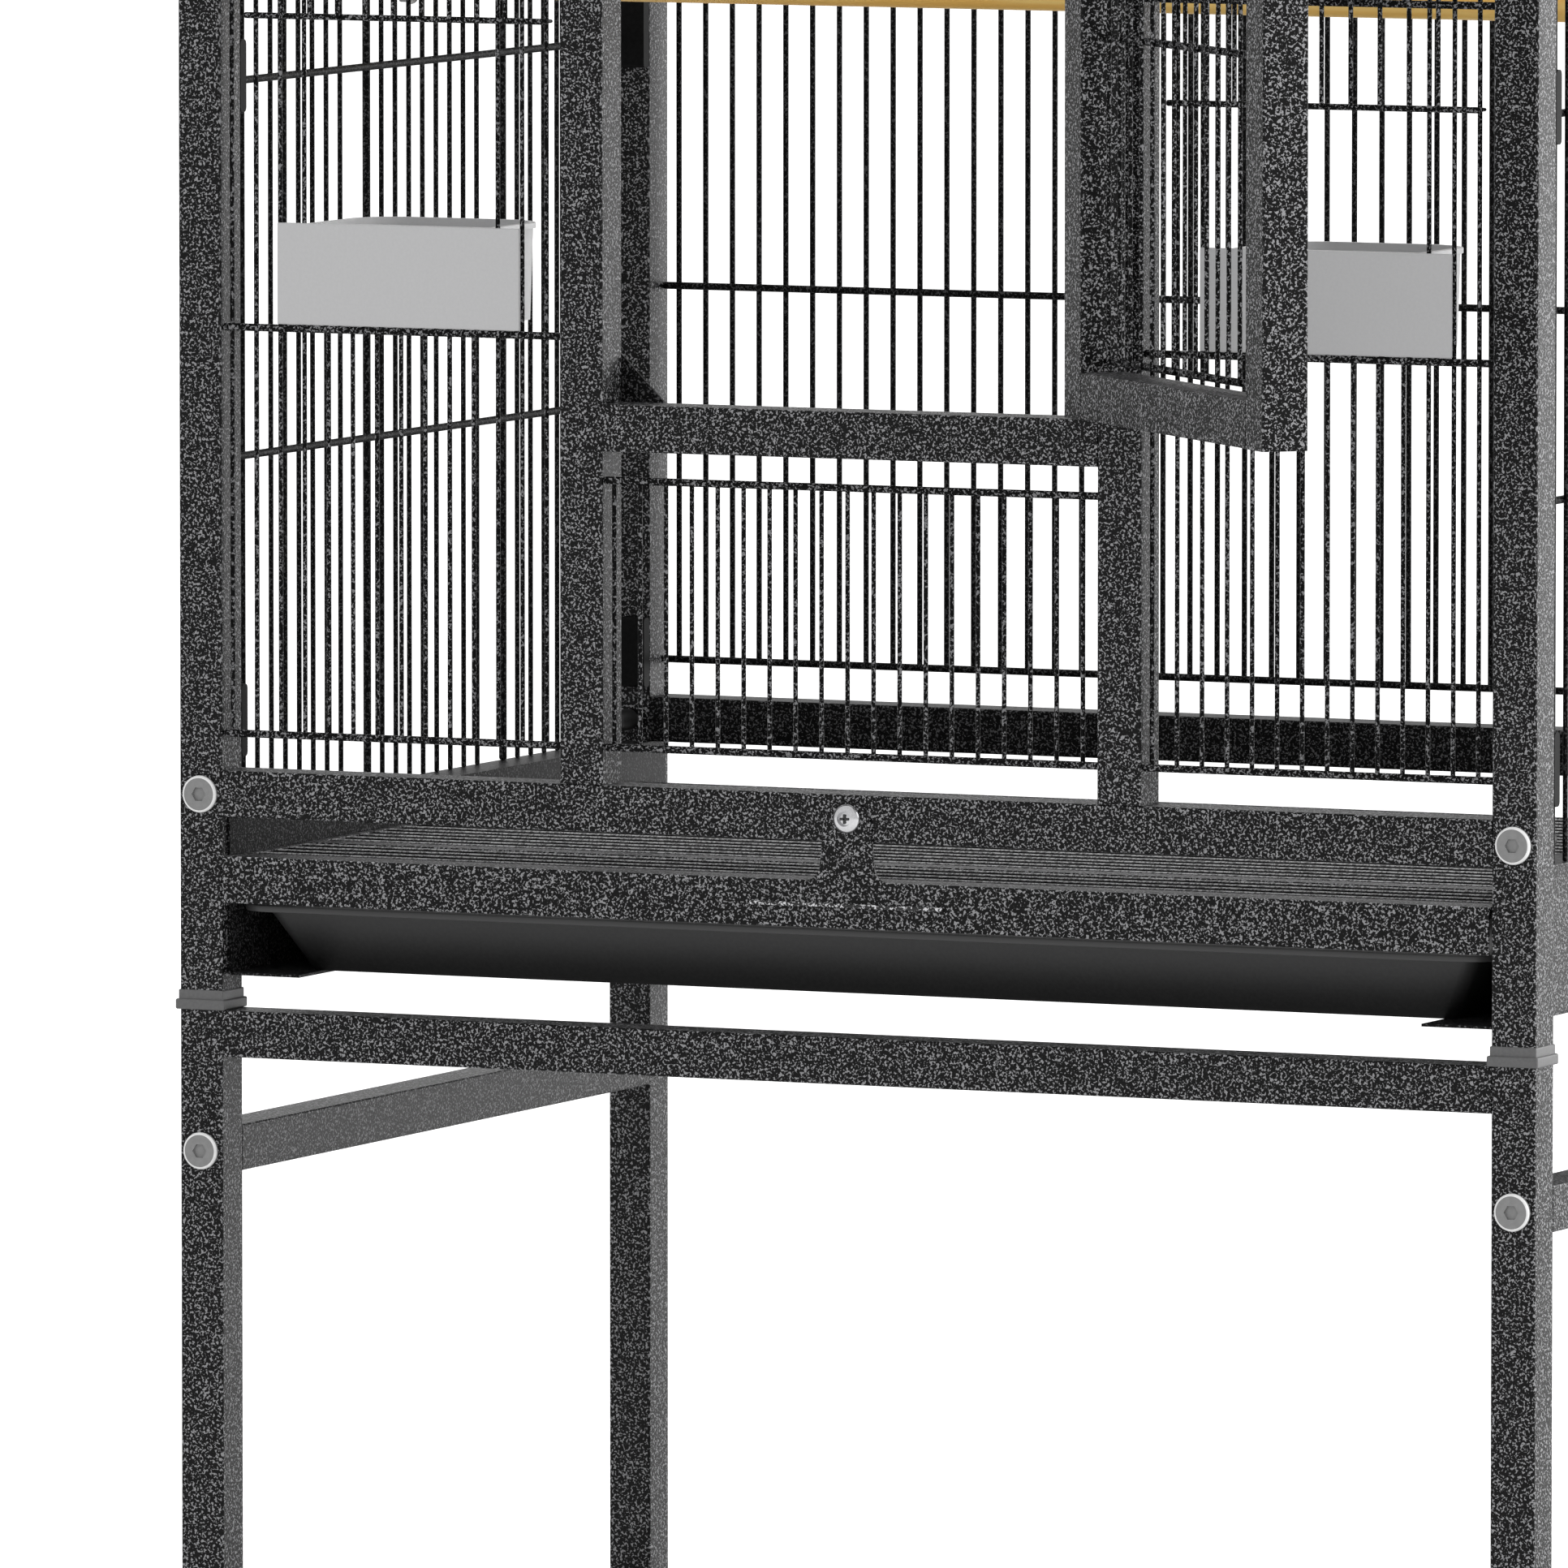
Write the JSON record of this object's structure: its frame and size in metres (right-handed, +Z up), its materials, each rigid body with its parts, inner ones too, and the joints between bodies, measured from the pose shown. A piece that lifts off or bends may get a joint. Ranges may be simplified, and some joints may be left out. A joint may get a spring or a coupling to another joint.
{
  "type": "bird cage",
  "caption": "Tall rectangular wire bird cage of square tube on a wheeled stand, with a hinged front door, lifting feeder doors, cups, perch, pull-out grate and tray, and storage shelf.",
  "frame": {"origin": "on the floor, under the middle of the four-post footprint", "axes": "+Z up, +X to the right seen from the front, the door faces -Y"},
  "size_m": [0.8016, 0.8258, 1.35],
  "materials": {
    "powder_coat": "hammered silver-vein black powder coat",
    "bolt_steel": "dull zinc plate",
    "screw_chrome": "bright",
    "perch_wood": "smooth dowel, clear sealed",
    "cup_plastic": "satin",
    "collar_plastic": "satin",
    "black_plastic": "satin",
    "tray_plastic": "satin, smooth",
    "caster_plastic": "satin",
    "wheel_rubber": "smooth"
  },
  "bodies": {
    "cage": {"front_left_post": "powder_coat", "front_right_post": "powder_coat", "rear_left_post": "powder_coat", "rear_right_post": "powder_coat", "left_door_jamb": "powder_coat", "right_door_jamb": "powder_coat", "front_bottom_rail": "powder_coat", "door_sill_rail": "powder_coat", "door_head_rail": "powder_coat", "front_top_rail": "powder_coat", "rear_bottom_rail": "powder_coat", "rear_top_rail": "powder_coat", "side_top_rails": "powder_coat", "front_left_wires": "powder_coat", "front_right_wires": "powder_coat", "front_lower_wires": "powder_coat", "front_upper_wires": "powder_coat", "rear_wires": "powder_coat", "left_side_wires": "powder_coat", "right_side_wires": "powder_coat", "roof_wires": "powder_coat", "left_runner": "powder_coat", "right_runner": "powder_coat", "panel_hooks": "powder_coat", "door_gussets": "powder_coat", "hinge_knuckles": "powder_coat", "latch_keeper": "powder_coat", "perch": "perch_wood", "perch_fixings": "bolt_steel", "frame_bolts": "bolt_steel", "leg_collars": "collar_plastic", "post_caps": "black_plastic", "stand_legs": "powder_coat", "stand_cross_rails": "powder_coat", "stand_side_rails": "powder_coat", "shelf_frame": "powder_coat", "shelf_slats": "powder_coat", "leg_plugs": "black_plastic"},
    "main_door": {"door_frame": "powder_coat", "door_wires": "powder_coat", "door_hinge_straps": "powder_coat", "latch_guide": "powder_coat"},
    "latch": {"latch_bolt": "bolt_steel"},
    "left_feeder": {"left_feeder_door": "powder_coat"},
    "right_feeder": {"right_feeder_door": "powder_coat"},
    "left_cup_body": {"left_cup": "cup_plastic"},
    "right_cup_body": {"right_cup": "cup_plastic"},
    "tray_body": {"tray": "tray_plastic"},
    "grate": {"grate_frame": "powder_coat", "grate_wires": "powder_coat", "grate_screw": "screw_chrome"},
    "front_left_swivel": {"front_left_caster": "caster_plastic"},
    "front_left_roller": {"front_left_wheel": "wheel_rubber"},
    "rear_left_swivel": {"rear_left_caster": "caster_plastic"},
    "rear_left_roller": {"rear_left_wheel": "wheel_rubber"},
    "front_right_swivel": {"front_right_caster": "caster_plastic"},
    "front_right_roller": {"front_right_wheel": "wheel_rubber"},
    "rear_right_swivel": {"rear_right_caster": "caster_plastic"},
    "rear_right_roller": {"rear_right_wheel": "wheel_rubber"}
  },
  "joints": [
    {"name": "main_door_hinge", "type": "hinge", "parent": "cage", "child": "main_door", "pos_m": [0.1505, -0.2862, 0.99], "axis": [0, 0, 1], "range_deg": [-135, 8]},
    {"name": "latch_slide", "type": "slide", "parent": "main_door", "child": "latch", "axis": [0.7071, -0.7071, 0], "range_m": [0, 0.016]},
    {"name": "left_feeder_lift", "type": "slide", "parent": "cage", "child": "left_feeder", "axis": [0, 0, 1], "range_m": [-0.162, 0.008]},
    {"name": "right_feeder_lift", "type": "slide", "parent": "cage", "child": "right_feeder", "axis": [0, 0, 1], "range_m": [-0.127, 0.043]},
    {"name": "left_cup_pull", "type": "slide", "parent": "cage", "child": "left_cup_body", "axis": [0, -1, 0], "range_m": [0, 0.09]},
    {"name": "right_cup_pull", "type": "slide", "parent": "cage", "child": "right_cup_body", "axis": [0, -1, 0], "range_m": [0, 0.045]},
    {"name": "tray_pull", "type": "slide", "parent": "cage", "child": "tray_body", "axis": [0, -1, 0], "range_m": [0, 0.48]},
    {"name": "grate_pull", "type": "slide", "parent": "cage", "child": "grate", "axis": [0, -1, 0], "range_m": [0, 0.48]},
    {"name": "front_left_swivel", "type": "hinge", "parent": "cage", "child": "front_left_swivel", "pos_m": [-0.381, -0.2705, 0.057], "axis": [0, 0, 1], "continuous": true},
    {"name": "front_left_roll", "type": "hinge", "parent": "front_left_swivel", "child": "front_left_roller", "pos_m": [-0.381, -0.2525, 0.025], "axis": [1, 0, 0], "continuous": true},
    {"name": "rear_left_swivel", "type": "hinge", "parent": "cage", "child": "rear_left_swivel", "pos_m": [-0.381, 0.2705, 0.057], "axis": [0, 0, 1], "continuous": true},
    {"name": "rear_left_roll", "type": "hinge", "parent": "rear_left_swivel", "child": "rear_left_roller", "pos_m": [-0.381, 0.2885, 0.025], "axis": [1, 0, 0], "continuous": true},
    {"name": "front_right_swivel", "type": "hinge", "parent": "cage", "child": "front_right_swivel", "pos_m": [0.381, -0.2705, 0.057], "axis": [0, 0, 1], "continuous": true},
    {"name": "front_right_roll", "type": "hinge", "parent": "front_right_swivel", "child": "front_right_roller", "pos_m": [0.381, -0.2525, 0.025], "axis": [1, 0, 0], "continuous": true},
    {"name": "rear_right_swivel", "type": "hinge", "parent": "cage", "child": "rear_right_swivel", "pos_m": [0.381, 0.2705, 0.057], "axis": [0, 0, 1], "continuous": true},
    {"name": "rear_right_roll", "type": "hinge", "parent": "rear_right_swivel", "child": "rear_right_roller", "pos_m": [0.381, 0.2885, 0.025], "axis": [1, 0, 0], "continuous": true}
  ]
}
